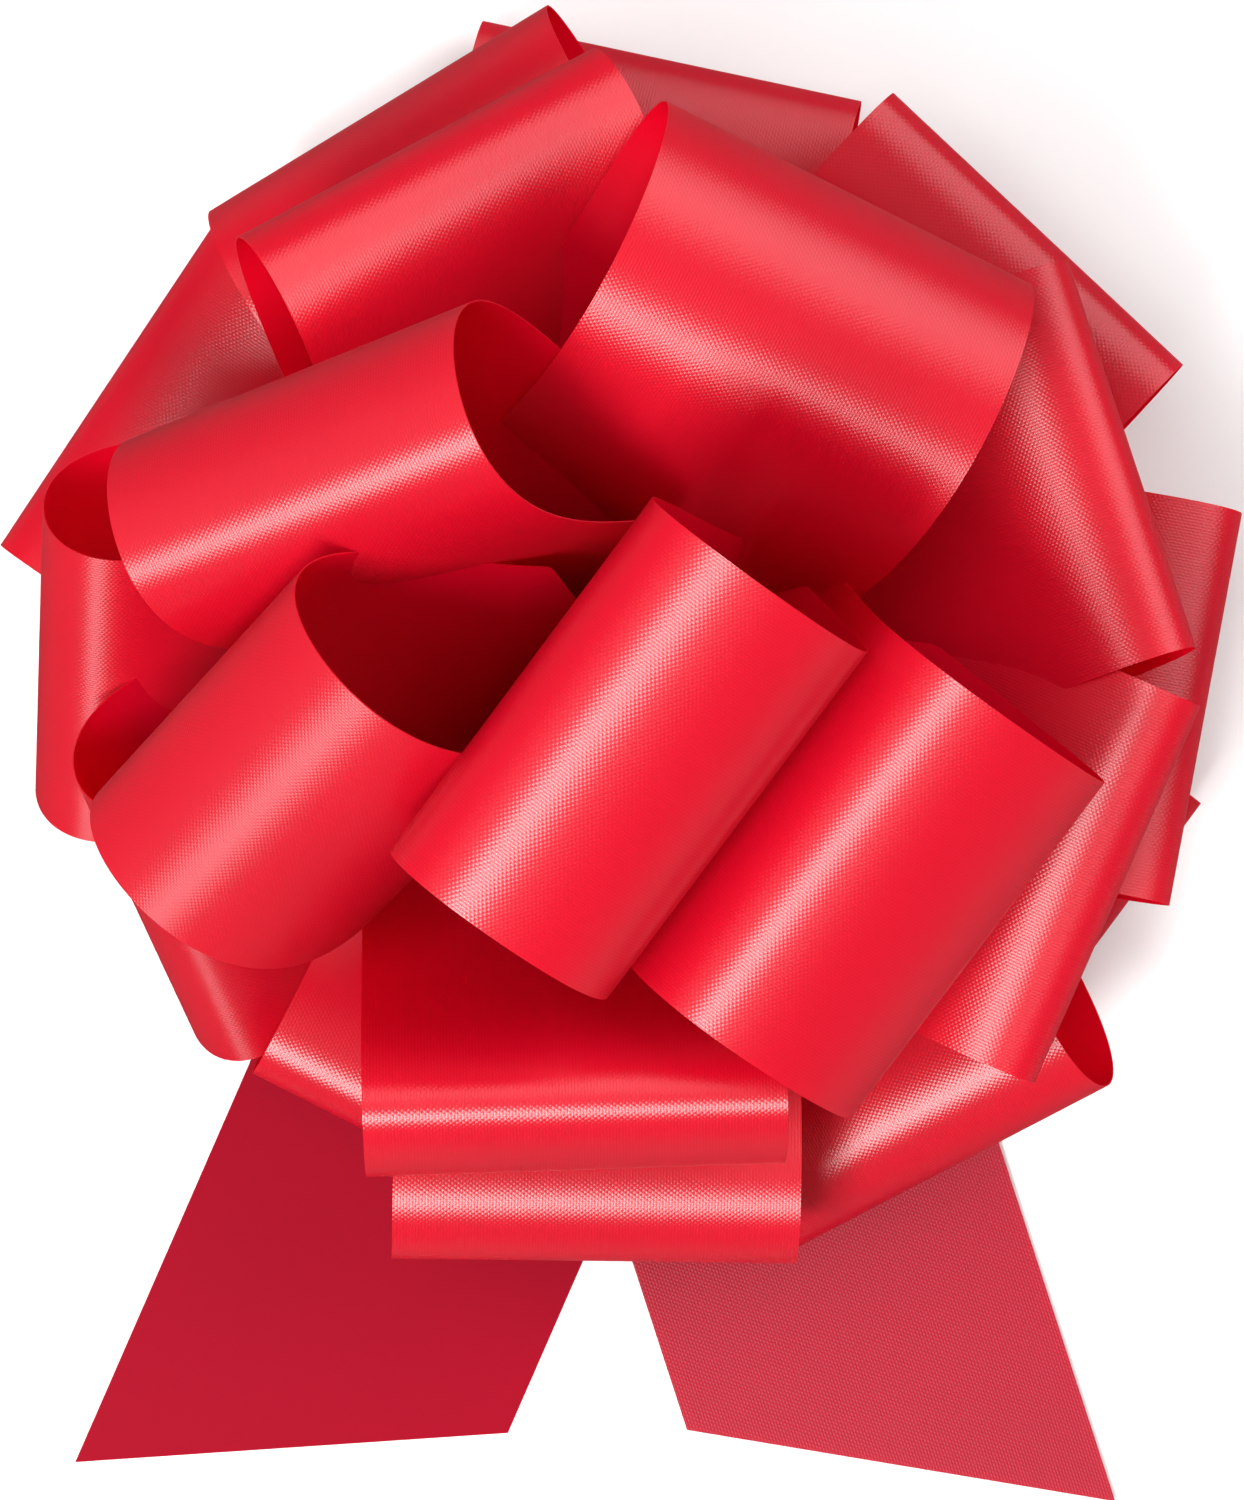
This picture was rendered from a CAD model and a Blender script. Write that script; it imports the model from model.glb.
import math

import bpy
import numpy as np
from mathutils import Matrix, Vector
from mathutils.geometry import delaunay_2d_cdt


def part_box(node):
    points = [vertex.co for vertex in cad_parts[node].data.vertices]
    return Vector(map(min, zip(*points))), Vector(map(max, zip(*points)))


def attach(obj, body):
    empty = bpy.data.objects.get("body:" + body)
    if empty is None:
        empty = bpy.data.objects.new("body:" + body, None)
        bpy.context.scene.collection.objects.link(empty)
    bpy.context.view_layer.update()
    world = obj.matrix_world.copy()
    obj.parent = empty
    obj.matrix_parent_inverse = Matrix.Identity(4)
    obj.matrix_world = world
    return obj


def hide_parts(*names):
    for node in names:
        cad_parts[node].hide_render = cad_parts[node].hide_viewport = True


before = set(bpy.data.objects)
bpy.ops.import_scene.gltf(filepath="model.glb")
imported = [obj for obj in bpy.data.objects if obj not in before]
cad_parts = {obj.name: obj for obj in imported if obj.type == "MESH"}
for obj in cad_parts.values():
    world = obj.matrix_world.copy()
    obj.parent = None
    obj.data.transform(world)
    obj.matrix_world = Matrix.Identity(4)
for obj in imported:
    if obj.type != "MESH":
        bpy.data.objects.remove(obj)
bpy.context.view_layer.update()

MM = 0.001
RIBBON_WIDTH = 63.5
SHEET_HALF = 0.1  # half the ribbon's thickness
WAIST_WIDTH = 12.0
NOTCH_START = 3.0  # distance from a loop's root to the start of the flare
NOTCH_END = 46.0  # and to the full ribbon width
ROOT_RADIUS = 5.0  # where a loop leaves its waist pad
ROOT_GAP = 0.5  # between the middles of a loop's two legs at its root
WAIST_RADIUS = 4.6  # the round pad on the strings
TAB_START = 3.6  # where the pad's tab starts
LEG_OVERLAP = 0.3  # how far the tab runs past a loop's root
# Half width, near side and far side of a string slot. The slots are only outlined in
# the pads' meshes and not cut out, so the strings pass through the pads' surfaces.
LOOP_SLOT = (2.25, 1.1, 1.9)
TAIL_SLOT = (2.61, 0.54, 2.36)  # wide enough for the swing
TAIL_LENGTH = 145.0  # axis to the middle of the slanting cut
TAIL_SLANT = 33.0  # how much longer one edge is than the other
SLOPE_START = 7.0  # distances from the axis between which a tail comes down
SLOPE_END = 34.0
WAIST_HEIGHT = 0.7
WAIST_PITCH = 0.85
STACK_BOTTOM = 4.45  # underside of the lowest waist
STRING_WIDTH = 4.0
STRING_THICKNESS = 0.3
STRING_OFFSET = 1.5  # each string's distance from the bow's axis

# One row per loop, from the bottom of the stack to its top:
#   azimuth, rise, tilt   where the loop points and its turn about that line, degrees
#   reach, fullness       root to tip, and the greatest distance between the legs
#   lift                  how far the tip stands above the straight line of the loop
#   side                  how far the ribbon's middle runs to the left of the waist
#   slimness, curl        how late the legs part, and how far the loop's middle rises
LOOPS = {
    "base_4": (-36.5, 2, 1, 88, 10, 2, 2, 2.6, 0),
    "base_12": (77.7, 4.4, -6.3, 87.6, 10.9, -0.6, 11.7, 2.9, 1.1),
    "base_10": (146.2, 1.9, -2.2, 87, 11.3, -0.4, 13, 2.7, -0.1),
    "base_5": (-63.6, 8, 23.1, 97.6, 22.8, 3.1, 9.3, 3.9, 0.7),
    "base_11": (123.3, 17.2, -10.8, 88.8, 26.4, -1.3, -12.6, 3.3, 2.1),
    "base_3": (-10, 12.1, -4.5, 92.2, 13.8, 7.8, 2.8, 2.8, 3.8),
    "base_7": (-116.5, 8.3, -5.3, 86.3, 15.8, -0, 10.7, 2.8, -2),
    "base_8": (-150.7, 9.2, -47.6, 86.8, 24.5, 12, -8.6, 4.5, 1.5),
    "base_1": (47.3, 13.7, -4.2, 88.9, 12.7, -2.5, -5.6, 2.7, -0.7),
    "base_9": (-174.8, 12.3, -47.4, 90.4, 25.7, 3.6, -8.3, 3.7, -1.1),
    "base_6": (-90, 19.8, -2.6, 99.4, 22.7, -2.2, -3.9, 3.4, 1.7),
    "middle_4": (-24.8, 30, 2.5, 93.9, 16.4, -0.2, -5.9, 3, 2.5),
    "middle_11": (109.3, 35.8, 17.3, 92.3, 19.7, 1.5, 4.7, 3.1, 3.9),
    "middle_2": (21.6, 27.5, -8.8, 89, 15.4, 2, -4.8, 2.7, 1.1),
    "middle_6": (-87.1, 38.8, -1.8, 99, 26.7, 4.9, -10.7, 4.5, -7.2),
    "crown_1": (46.4, 48.7, 24.3, 92.2, 35.3, -7.2, 14, 2.5, 7.8),
    "crown_8": (-152.6, 46.2, -77.8, 96.7, 36.8, -4.6, -13.3, 3.6, 7.9),
    "crown_4": (-45.5, 56.9, 10.5, 94.8, 43.1, -6, -0.9, 3.9, -1.9),
    "crown_10": (160.9, 54.7, -57.2, 98.3, 31.2, -2.4, -10.9, 3.8, 1.2),
    "crown_front": (-70.9, 79.3, 34.6, 105, 38.1, 9.8, -2.6, 4.5, -4.3),
}


# ------------------------------------------------------------------ materials
def new_material(name):
    material = bpy.data.materials.new(name)
    material.use_nodes = True
    tree = material.node_tree
    tree.nodes.clear()
    return material, tree


def node(tree, kind, **values):
    made = tree.nodes.new(kind)
    for key, value in values.items():
        if hasattr(made, key):
            setattr(made, key, value)
        else:
            made.inputs[key].default_value = value
    return made


def math_node(tree, operation, first, second=None):
    made = tree.nodes.new("ShaderNodeMath")
    made.operation = operation
    for socket, value in zip(made.inputs, (first, second)):
        if value is None:
            continue
        if isinstance(value, (int, float)):
            socket.default_value = value
        else:
            tree.links.new(value, socket)
    return made.outputs[0]


THROUGH = 0.5  # share of the light that passes a face of the thin ribbon
BEAD_ACROSS = 0.96  # pitches of the embossed pattern, mm
BEAD_ALONG = 0.74
RIB_PITCH = 0.48
BEAD_HEIGHT = 0.5  # shares of the two patterns in the relief
RIB_HEIGHT = 0.6
EMBOSS_DEPTH = 0.00002  # metres


def satin(name, colour, groove, roughness, gloss, emboss, spread, coat):
    """Embossed ribbon: beads over fine ribs, with the grain across the highlight."""
    material, tree = new_material(name)
    out = node(tree, "ShaderNodeOutputMaterial")
    shader = node(tree, "ShaderNodeBsdfPrincipled")
    through = node(tree, "ShaderNodeBsdfTranslucent")
    blend = node(tree, "ShaderNodeMixShader")
    blend.inputs[0].default_value = THROUGH
    tree.links.new(shader.outputs[0], blend.inputs[1])
    tree.links.new(through.outputs[0], blend.inputs[2])
    tree.links.new(blend.outputs[0], out.inputs[0])
    uv = node(tree, "ShaderNodeUVMap", uv_map="ribbon")
    split = node(tree, "ShaderNodeSeparateXYZ")
    tree.links.new(uv.outputs[0], split.inputs[0])
    # the map holds decimetres: across the ribbon, then along it
    across = math_node(tree, "MULTIPLY", split.outputs[0], 100.0)
    along = math_node(tree, "MULTIPLY", split.outputs[1], 100.0)
    turn = 2 * math.pi
    row = math_node(tree, "MULTIPLY", across, turn / BEAD_ACROSS)
    step = math_node(tree, "MULTIPLY", along, turn / BEAD_ALONG)
    beads = math_node(
        tree, "MULTIPLY", math_node(tree, "COSINE", row), math_node(tree, "COSINE", step)
    )
    ribs = math_node(
        tree, "COSINE", math_node(tree, "MULTIPLY", across, turn / RIB_PITCH)
    )
    pattern = math_node(
        tree,
        "ADD",
        math_node(tree, "MULTIPLY", beads, BEAD_HEIGHT),
        math_node(tree, "MULTIPLY", ribs, RIB_HEIGHT),
    )
    place = node(tree, "ShaderNodeTexCoord")
    cloud = node(tree, "ShaderNodeTexNoise")
    cloud.inputs["Scale"].default_value = 35.0
    cloud.inputs["Detail"].default_value = 2.0
    tree.links.new(place.outputs["Object"], cloud.inputs["Vector"])
    mix = node(tree, "ShaderNodeMix", data_type="RGBA")
    mix.inputs[6].default_value = (*groove, 1)
    mix.inputs[7].default_value = (*colour, 1)
    level = math_node(tree, "MULTIPLY", pattern, 0.22)
    level = math_node(tree, "ADD", level, 0.5)
    level = math_node(
        tree, "ADD", level, math_node(tree, "MULTIPLY", cloud.outputs["Fac"], 0.4)
    )
    tree.links.new(level, mix.inputs[0])
    tree.links.new(mix.outputs[2], shader.inputs["Base Color"])
    tree.links.new(mix.outputs[2], through.inputs["Color"])
    bump = node(tree, "ShaderNodeBump")
    bump.inputs["Strength"].default_value = emboss
    bump.inputs["Distance"].default_value = EMBOSS_DEPTH
    tree.links.new(pattern, bump.inputs["Height"])
    tree.links.new(bump.outputs[0], shader.inputs["Normal"])
    if "Coat Normal" in shader.inputs and coat:
        tree.links.new(bump.outputs[0], shader.inputs["Coat Normal"])
    tangent = node(tree, "ShaderNodeTangent", direction_type="UV_MAP", uv_map="ribbon")
    tree.links.new(tangent.outputs[0], shader.inputs["Tangent"])
    shader.inputs["Roughness"].default_value = roughness
    shader.inputs["Specular IOR Level"].default_value = gloss
    shader.inputs["Anisotropic"].default_value = spread
    shader.inputs["Coat Weight"].default_value = coat
    shader.inputs["Coat Roughness"].default_value = 0.6
    return material


# name: colour, groove, roughness, gloss, emboss, spread, coat
FINISHES = {
    "satin_face": ((0.84, 0.0012, 0.03), (0.72, 0.0006, 0.022), 0.35, 1.0, 1.0, 0.96, 0.3),
    "satin_back": ((0.78, 0.0012, 0.03), (0.7, 0.0006, 0.022), 0.5, 0.12, 0.2, 0.2, 0.0),
    "satin_tail": ((0.6, 0.0012, 0.034), (0.53, 0.0006, 0.024), 0.42, 0.26, 1.0, 0.7, 0.1),
    "satin_tail_back": (
        (0.54, 0.0006, 0.026), (0.48, 0.0004, 0.02), 0.55, 0.1, 0.2, 0.2, 0.0
    ),
    "satin_string": ((0.7, 0.0012, 0.02), (0.5, 0.0006, 0.012), 0.4, 0.5, 1.0, 0.6, 0.0),
}
satin_face, satin_back, satin_tail, satin_tail_back, satin_string = (
    satin(name, *finish) for name, finish in FINISHES.items()
)
MATERIALS = (satin_face, satin_back)


# ------------------------------------------------------------------ sheets of ribbon
def waist_outline(azimuth, reach):
    """The round pad on the strings with its tab, as seen from above."""
    corner = math.acos(TAB_START / WAIST_RADIUS)
    arc = np.linspace(corner, 2 * math.pi - corner, 40)
    ring = [(WAIST_RADIUS * math.cos(a), WAIST_RADIUS * math.sin(a)) for a in arc]
    tab = [(TAB_START, -WAIST_WIDTH / 2), (reach, -WAIST_WIDTH / 2)]
    tab += [(reach, WAIST_WIDTH / 2), (TAB_START, WAIST_WIDTH / 2)]
    az = math.radians(azimuth)
    turn = np.array([[math.cos(az), math.sin(az)], [-math.sin(az), math.cos(az)]])
    return np.array(ring + tab) @ turn


def waist_layers(azimuth, reach, heights, slot):
    """Flat layers of ribbon on the strings, with each string's slot outlined."""
    outline = waist_outline(azimuth, reach)
    half, low, high = slot
    rings = [outline]
    for way in (-1, 1):
        near, far = way * low, way * high
        rings.append(np.array([(-half, near), (half, near), (half, far), (-half, far)]))
    flat = [Vector((float(x), float(y))) for ring in rings for x, y in ring]
    edges = []
    first = 0
    for ring in rings:
        edges += [(first + i, first + (i + 1) % len(ring)) for i in range(len(ring))]
        first += len(ring)
    coords, _, faces, _, _, _ = delaunay_2d_cdt(flat, edges, [], 5, 1e-6)
    verts, polygons = [], []
    border = {}
    for face in faces:
        for a, b in zip(face, list(face[1:]) + [face[0]]):
            border[(a, b)] = (b, a) not in border
            if (b, a) in border:
                border[(b, a)] = False
    for height in heights:
        base = len(verts)
        for z in (height + SHEET_HALF, height - SHEET_HALF):
            verts += [(c.x, c.y, z) for c in coords]
        under = base + len(coords)
        polygons += [[base + i for i in face] for face in faces]
        polygons += [[under + i for i in reversed(face)] for face in faces]
        for (a, b), is_rim in border.items():
            if is_rim:
                polygons.append([base + b, base + a, under + a, under + b])
    return np.array(verts), polygons


def sheet_mesh(
    name, points, across, along, face_is_up=True, materials=MATERIALS, layers=None
):
    """A closed thin sheet through a grid of points, with the satin face on one side.

    layers are the flat waist layers that the sheet is threaded on the strings by.
    """
    rows, columns = points.shape[:2]
    d_row = np.gradient(points, axis=0)
    d_col = np.gradient(points, axis=1)
    normal = np.cross(d_row, d_col)
    normal /= np.linalg.norm(normal, axis=2, keepdims=True) + 1e-12
    top = points + normal * SHEET_HALF
    low = points - normal * SHEET_HALF
    count = rows * columns
    verts = np.concatenate([top.reshape(-1, 3), low.reshape(-1, 3)]) * MM
    grid = np.arange(count).reshape(rows, columns)
    a, b, c, d = grid[:-1, :-1], grid[1:, :-1], grid[1:, 1:], grid[:-1, 1:]
    upper = np.stack([a, b, c, d], -1).reshape(-1, 4)
    lower = upper[:, ::-1] + count
    rim = np.concatenate([grid[0, ::-1], grid[1:, 0], grid[-1, 1:], grid[-2::-1, -1]])
    rim_next = np.roll(rim, -1)
    edge = np.stack([rim_next, rim, rim + count, rim_next + count], -1)[:-1]
    faces = np.concatenate([upper, lower, edge])
    polygons = faces.tolist()
    flat = np.stack([across.reshape(-1), along.reshape(-1)], -1) / 100.0
    flat = np.concatenate([flat, flat])
    if layers is not None:
        pad_verts, pad_faces = layers
        polygons += [[i + len(verts) for i in face] for face in pad_faces]
        verts = np.concatenate([verts, pad_verts * MM])
        flat = np.concatenate([flat, pad_verts[:, :2] / 100.0])
    mesh = bpy.data.meshes.new(name)
    mesh.from_pydata(verts.tolist(), [], polygons)
    uv = mesh.uv_layers.new(name="ribbon")
    index = np.zeros(len(mesh.loops), np.int32)
    mesh.loops.foreach_get("vertex_index", index)
    uv.data.foreach_set("uv", flat[index].astype(np.float32).reshape(-1))
    side = np.ones(len(polygons), np.int32)
    side[: len(upper)] = 0
    side[len(upper) + len(lower) :] = 0
    if not face_is_up:
        side = 1 - side
    mesh.polygons.foreach_set("material_index", side)
    smooth = np.ones(len(polygons), bool)
    smooth[len(faces) :] = False
    mesh.polygons.foreach_set("use_smooth", smooth)
    for material in materials:
        mesh.materials.append(material)
    mesh.update()
    mesh.validate()
    made = bpy.data.objects.new(name, mesh)
    bpy.context.scene.collection.objects.link(made)
    sharpen_rim(mesh, len(upper) + len(lower), len(faces))
    return made


def sharpen_rim(mesh, first, last):
    """The cut edge keeps its own shading, so the faces stay smooth up to it."""
    sharp = mesh.attributes.new("sharp_edge", "BOOLEAN", "EDGE")
    values = np.zeros(len(mesh.edges), bool)
    keys = {}
    for i, e in enumerate(mesh.edges):
        keys[tuple(sorted(e.vertices))] = i
    for polygon in mesh.polygons[first:last]:
        v = polygon.vertices
        values[keys[tuple(sorted((v[0], v[1])))]] = True
        values[keys[tuple(sorted((v[2], v[3])))]] = True
    sharp.data.foreach_set("value", values)


def unit(v):
    return v / np.linalg.norm(v)


def loop_axes(azimuth, rise, tilt):
    az, el, ti = (math.radians(x) for x in (azimuth, rise, tilt))
    u = np.array([math.cos(az) * math.cos(el), math.sin(az) * math.cos(el), math.sin(el)])
    w0 = np.array([-math.sin(az), math.cos(az), 0.0])
    n0 = np.cross(u, w0)
    w = math.cos(ti) * w0 + math.sin(ti) * n0
    return u, w, np.cross(u, w)


def loop_section(reach, fullness, lift, slimness, curl, stations):
    """Evenly spaced points along the loop: distance out, height, length so far."""
    t = np.linspace(0.02, 2 * math.pi - 0.02, 3000)
    widest = 2 * math.asin(math.sqrt((slimness + 1) / (slimness + 2)))
    scale = fullness / 2 / (math.sin(widest) * math.sin(widest / 2) ** slimness)
    along = np.sin(t / 2) ** 2
    x = reach * along
    y = scale * np.sin(t) * np.abs(np.sin(t / 2)) ** slimness
    y += ROOT_GAP / 2 * np.cos(t / 2) + lift * along**2 + curl * np.sin(np.pi * along)
    length = np.concatenate([[0], np.cumsum(np.hypot(np.diff(x), np.diff(y)))])
    s = np.linspace(0, length[-1], stations)
    return np.interp(s, length, x), np.interp(s, length, y), s


def loop_grid(shape, height):
    azimuth, rise, tilt, reach, fullness, lift, side, slimness, curl = shape
    u, w, n = loop_axes(azimuth, rise, tilt)
    az = math.radians(azimuth)
    root = np.array([ROOT_RADIUS * math.cos(az), ROOT_RADIUS * math.sin(az), height])
    stations = 181
    x, y, s = loop_section(reach, fullness, lift, slimness, curl, stations)
    flare = np.clip((x - NOTCH_START) / (NOTCH_END - NOTCH_START), 0, 1)
    half = WAIST_WIDTH / 2 + (RIBBON_WIDTH - WAIST_WIDTH) / 2 * flare
    middle = side * flare
    v = np.linspace(-1, 1, 33)
    across = middle[:, None] + half[:, None] * v[None, :]
    points = (
        root
        + x[:, None, None] * u
        + across[:, :, None] * w
        + y[:, None, None] * n
    )
    return points, across, np.repeat(s[:, None], len(v), 1), half


knot_low, knot_high = (np.array(c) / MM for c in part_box("string_knot"))

for index, (name, shape) in enumerate(LOOPS.items()):
    height = STACK_BOTTOM + WAIST_HEIGHT / 2 + index * WAIST_PITCH
    points, across, along, half = loop_grid(shape, height)
    cad = f"loop_{name}"
    heights = (height - ROOT_GAP / 2, height + ROOT_GAP / 2)
    layers = waist_layers(shape[0], ROOT_RADIUS + LEG_OVERLAP, heights, LOOP_SLOT)
    piece = sheet_mesh(f"ribbon_{cad}", points, across, along, layers=layers)
    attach(piece, "bow")
    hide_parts(cad)


def tail_grid(azimuth, side, longer, top_z, floor_z):
    """A tail comes off its waist, slopes down and lies flat to its slanting cut."""
    az = math.radians(azimuth)
    u = np.array([math.cos(az), math.sin(az), 0.0])
    w = np.array([-math.sin(az), math.cos(az), 0.0])
    rows, columns = 150, 33
    s = np.linspace(0, 1, rows)
    v = np.linspace(-1, 1, columns)
    points = np.zeros((rows, columns, 3))
    across = np.zeros((rows, columns))
    along = np.zeros((rows, columns))
    for j, vv in enumerate(v):
        end = TAIL_LENGTH + longer * TAIL_SLANT / 2 * vv
        x = ROOT_RADIUS + (end - ROOT_RADIUS) * s
        flare = np.clip((x - NOTCH_START) / (NOTCH_END - NOTCH_START), 0, 1)
        half = WAIST_WIDTH / 2 + (RIBBON_WIDTH - WAIST_WIDTH) / 2 * flare
        y = side * flare + half * vv
        r = np.hypot(x, y)
        f = np.clip((r - SLOPE_START) / (SLOPE_END - SLOPE_START), 0, 1)
        z = top_z + (floor_z - top_z) * f
        points[:, j] = x[:, None] * u + y[:, None] * w
        points[:, j, 2] = z + SHEET_HALF
        across[:, j] = y
        along[:, j] = x
    return points, across, along


# azimuth, side, longer edge, top and floor heights, body, slot and whether the face is up
tails = {
    "tail_left": (-113.6, 4.2, -1, 3.35, 0.05, "left_tail", "ribbon_back", False),
    "tail_right": (-72.0, 1.6, 1, 3.9, 0.95, "right_tail", "ribbon", True),
}
for cad, (azimuth, side, longer, top_z, floor_z, body, finish, up) in tails.items():
    points, across, along = tail_grid(azimuth, side, longer, top_z, floor_z)
    layers = waist_layers(azimuth, ROOT_RADIUS, (top_z + SHEET_HALF,), TAIL_SLOT)
    finishes = (satin_tail, satin_tail_back)
    piece = sheet_mesh(f"ribbon_{cad}", points, across, along, up, finishes, layers)
    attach(piece, body)
    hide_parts(cad)


# ------------------------------------------------------------------ strings and knot
def swept_mesh(name, path, frames, section, closed, material):
    """A section carried along a path; frames are the section's two axes at each point."""
    rows, sides = len(path), len(section)
    verts = np.zeros((rows, sides, 3))
    for i in range(rows):
        a, b = frames[i]
        verts[i] = path[i] + section[:, :1] * a + section[:, 1:] * b
    grid = np.arange(rows * sides).reshape(rows, sides)
    after = np.roll(grid, -1, 0) if closed else grid[1:]
    here = grid if closed else grid[:-1]
    quads = np.stack(
        [here, np.roll(here, -1, 1), np.roll(after, -1, 1), after], -1
    ).reshape(-1, 4)
    faces = quads.tolist()
    if not closed:
        faces += [grid[0, ::-1].tolist(), grid[-1].tolist()]
    mesh = bpy.data.meshes.new(name)
    mesh.from_pydata((verts.reshape(-1, 3) * MM).tolist(), [], faces)
    uv = mesh.uv_layers.new(name="ribbon")
    run = np.concatenate([[0], np.cumsum(np.linalg.norm(np.diff(path, axis=0), axis=1))])
    flat = np.zeros((rows, sides, 2))
    flat[:, :, 0] = np.arange(sides)[None, :] * 0.35
    flat[:, :, 1] = run[:, None]
    flat = flat.reshape(-1, 2) / 100.0
    index = np.zeros(len(mesh.loops), np.int32)
    mesh.loops.foreach_get("vertex_index", index)
    uv.data.foreach_set("uv", flat[index].astype(np.float32).reshape(-1))
    mesh.polygons.foreach_set("use_smooth", np.ones(len(faces), bool))
    mesh.materials.append(material)
    mesh.update()
    made = bpy.data.objects.new(name, mesh)
    bpy.context.scene.collection.objects.link(made)
    return made


def flat_section(width, thickness, steps=7):
    """A flat string's section: rounded long edges and a slight crown."""
    x = np.linspace(-1, 1, steps)
    crown = thickness / 2 * np.sqrt(np.clip(1 - 0.75 * x**4, 0, 1))
    top = np.stack([x * width / 2, crown], -1)
    return np.concatenate([top, top[::-1] * (1, -1)])


FOLD_RADIUS = 0.38  # the string's end is folded over the stack
for cad, way in (("draw_string_front", -1), ("draw_string_back", 1)):
    low, high = (np.array(corner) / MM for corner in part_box(cad))
    y = way * STRING_OFFSET
    straight = np.linspace(low[2], high[2] - FOLD_RADIUS - STRING_THICKNESS / 2, 60)
    path = [(0, y, z) for z in straight]
    for a in np.linspace(0, math.pi, 14)[1:]:
        out_y = y + way * FOLD_RADIUS * (1 - math.cos(a))
        path.append((0, out_y, straight[-1] + FOLD_RADIUS * math.sin(a)))
    path.append((0, path[-1][1], straight[-1] - 0.2))
    path = np.array(path)
    along = np.gradient(path, axis=0)
    along /= np.linalg.norm(along, axis=1, keepdims=True)
    frames = [(np.array([1.0, 0, 0]), np.cross(t, (1.0, 0, 0))) for t in along]
    section = flat_section(STRING_WIDTH, STRING_THICKNESS)
    piece = swept_mesh(f"satin_{cad}", path, frames, section, False, satin_string)
    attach(piece, "bow")
    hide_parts(cad)

# the two strings tied and pulled tight: one rope of three crossings, pressed flat
knot_radius = (knot_high[0] - knot_low[0]) / 2
ROPE_HALF_WIDTH = 1.2
ROPE_HALF_HEIGHT = 0.82
t = np.linspace(0, 2 * math.pi, 240, endpoint=False)
swirl = np.stack([np.sin(t) + 2 * np.sin(2 * t), np.cos(t) - 2 * np.cos(2 * t)], -1) / 3
level = (knot_high[2] - knot_low[2]) / 2
path = np.zeros((len(t), 3))
path[:, :2] = swirl * (knot_radius - ROPE_HALF_WIDTH - 0.05)
path[:, 2] = level - np.sin(3 * t) * (level - ROPE_HALF_HEIGHT)
ahead = np.roll(path, -1, 0) - np.roll(path, 1, 0)
ahead /= np.linalg.norm(ahead, axis=1, keepdims=True)
frames = []
for direction in ahead:
    sideways = unit(np.cross((0, 0, 1.0), direction))
    frames.append((sideways, np.cross(direction, sideways)))
turn = np.linspace(0, 2 * math.pi, 20, endpoint=False)
section = np.stack(
    [ROPE_HALF_WIDTH * np.cos(turn), ROPE_HALF_HEIGHT * np.sin(turn)], -1
)
piece = swept_mesh("satin_string_knot", path, frames, section, True, satin_string)
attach(piece, "bow")
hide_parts("string_knot")

# ------------------------------------------------------------------ stage
floor_mesh = bpy.data.meshes.new("floor")
FLOOR = 3.0  # half the floor's side, metres
floor_mesh.from_pydata(
    [(-FLOOR, -FLOOR, 0), (FLOOR, -FLOOR, 0), (FLOOR, FLOOR, 0), (-FLOOR, FLOOR, 0)],
    [],
    [(0, 1, 2, 3)],
)
floor = bpy.data.objects.new("floor", floor_mesh)
bpy.context.scene.collection.objects.link(floor)
floor_material, tree = new_material("floor_paper")
out = node(tree, "ShaderNodeOutputMaterial")
paper = node(tree, "ShaderNodeBsdfPrincipled")
paper.inputs["Base Color"].default_value = (0.93, 0.93, 0.93, 1)
paper.inputs["Roughness"].default_value = 0.8
tree.links.new(paper.outputs[0], out.inputs[0])
floor_mesh.materials.append(floor_material)
floor.visible_glossy = False


def area_light(name, direction, distance, size, power, gloss=True, lit=True):
    """A soft light; gloss and lit say whether it shows in highlights and lights faces."""
    data = bpy.data.lights.new(name, "AREA")
    data.shape = "RECTANGLE"
    data.size, data.size_y = size
    data.energy = power
    made = bpy.data.objects.new(name, data)
    azimuth, elevation = (math.radians(x) for x in direction)
    offset = np.array(
        [
            math.cos(azimuth) * math.cos(elevation),
            math.sin(azimuth) * math.cos(elevation),
            math.sin(elevation),
        ]
    )
    made.location = np.array((0, 0, 0.04)) + offset * distance
    made.rotation_euler = Vector(-offset).to_track_quat("-Z", "Y").to_euler()
    bpy.context.scene.collection.objects.link(made)
    made.visible_glossy = gloss
    made.visible_diffuse = lit
    return made


area_light("key", (-124, 54), 1.5, (0.5, 0.5), 21, gloss=False)
area_light("streak", (-124, 54), 1.5, (0.5, 0.5), 42, lit=False)
area_light("veil", (48, 48), 1.9, (1.7, 1.4), 28, lit=False)
area_light("side", (30, 45), 1.9, (1.6, 1.6), 26, gloss=False)
area_light("fill", (175, 70), 1.9, (1.6, 1.6), 26, gloss=False)
world = bpy.data.worlds.new("studio")
bpy.context.scene.world = world
world.use_nodes = True
world.node_tree.nodes["Background"].inputs[0].default_value = (1, 1, 1, 1)
world.node_tree.nodes["Background"].inputs[1].default_value = 0.15
bpy.context.scene.view_settings.view_transform = "Standard"

camera_data = bpy.data.cameras.new("camera")
camera = bpy.data.objects.new("camera", camera_data)
camera_data.sensor_fit = "VERTICAL"
camera_data.sensor_height = 36.0
camera_data.sensor_width = 36.0
camera_data.lens = 130.9
camera_data.clip_end = 20.0
camera.location = (0.33 * MM, -19.47 * MM, 0.9)
camera.rotation_euler = (0, 0, 0)
bpy.context.scene.collection.objects.link(camera)
bpy.context.scene.camera = camera
